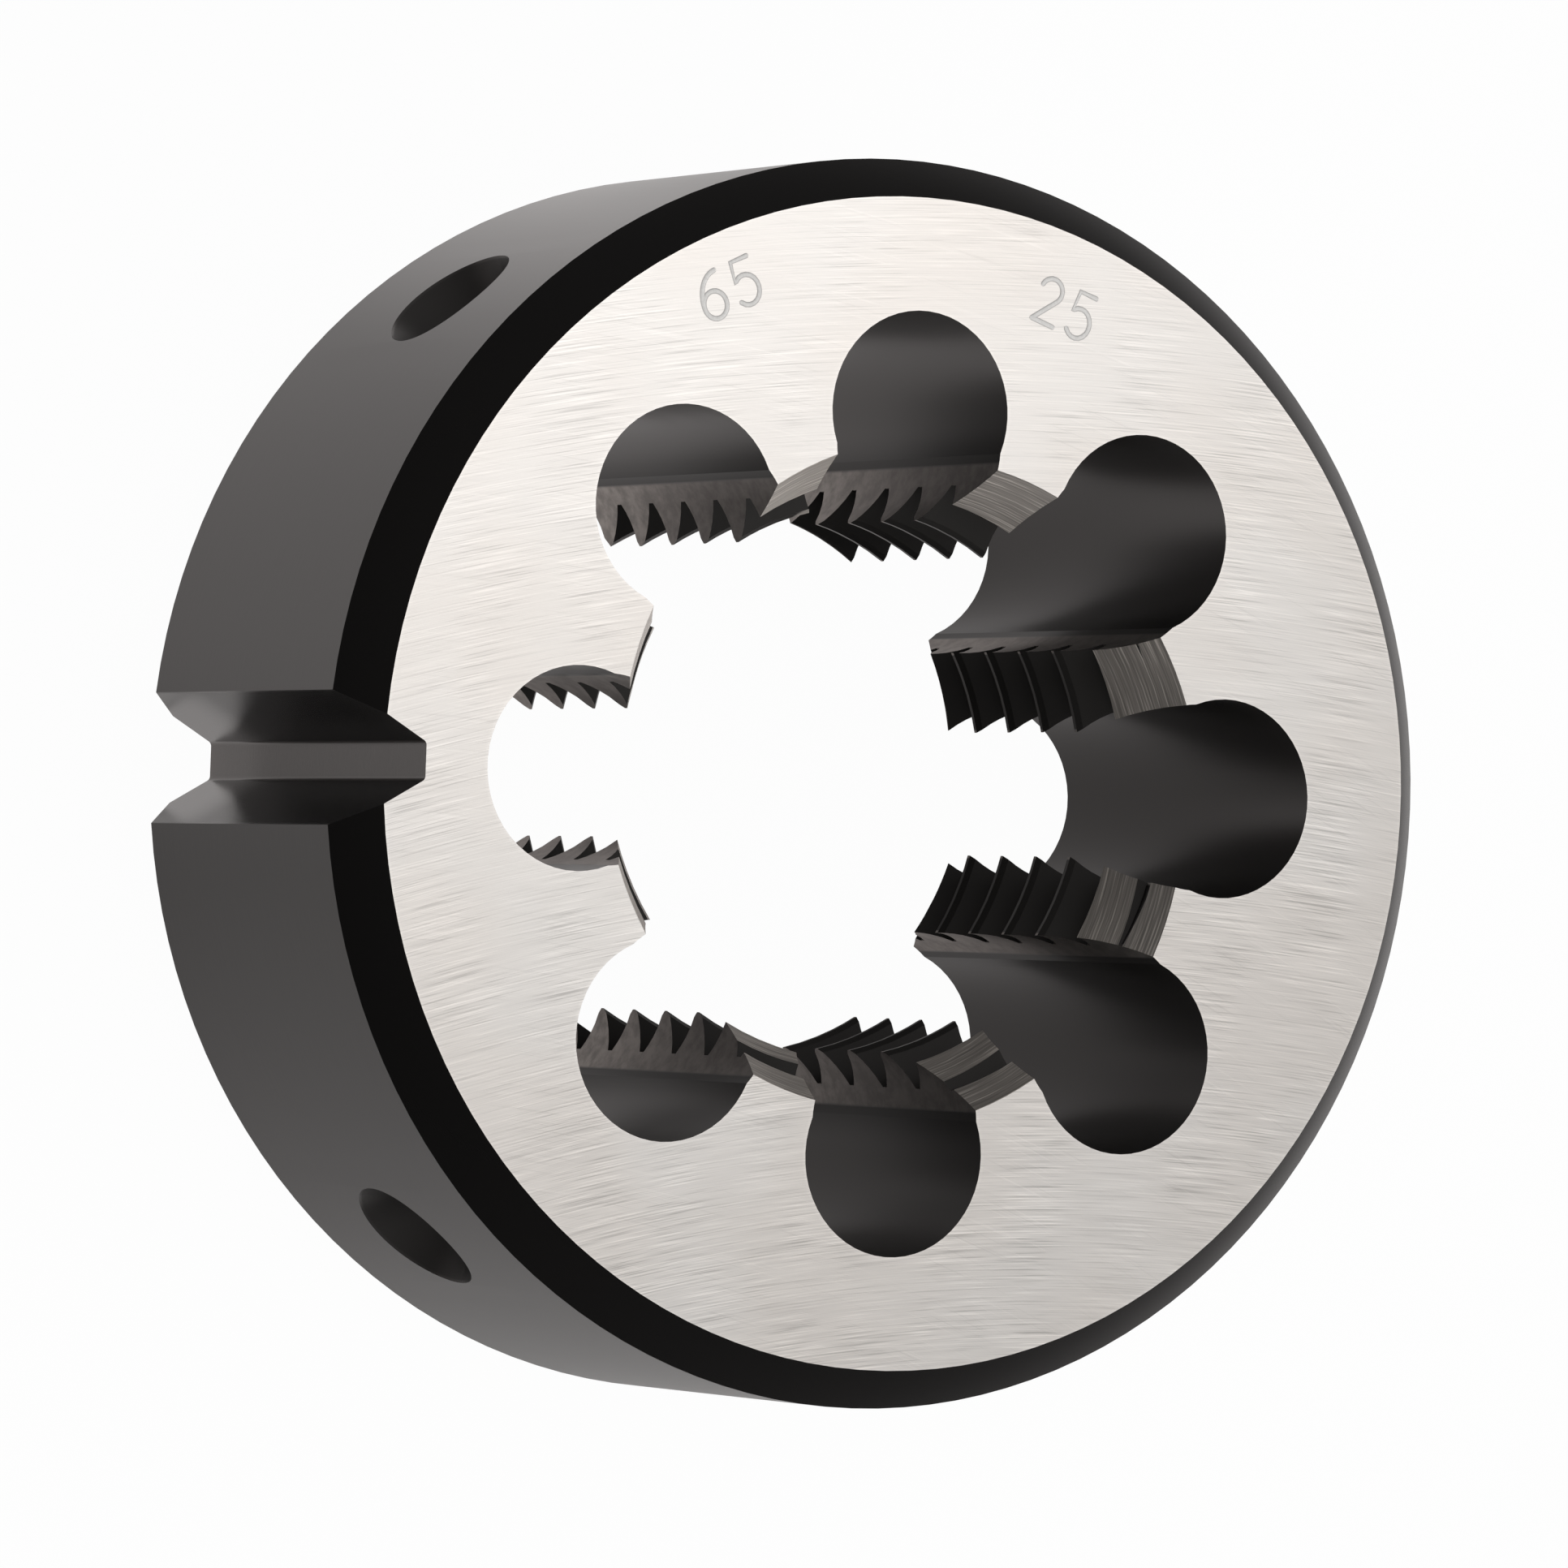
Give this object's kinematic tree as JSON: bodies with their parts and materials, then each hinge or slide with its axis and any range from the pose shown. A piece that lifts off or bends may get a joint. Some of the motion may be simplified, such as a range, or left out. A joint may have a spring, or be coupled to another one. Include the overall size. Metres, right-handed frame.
{
  "type": "round threading die",
  "caption": "Solid round die for cutting a right-hand metric thread on a rod, with chip holes around the bore, a locating notch and screw seats in the rim.",
  "frame": {"origin": "on the die's axis, at its back face", "axes": "+Z along the axis from the back face to the marked front face, locating notch towards -X"},
  "size_m": [0.0648, 0.065, 0.0247],
  "materials": {
    "die_steel": "black oxide with bright ground faces"
  },
  "bodies": {
    "root": {"round_die": "die_steel"}
  },
  "joints": []
}
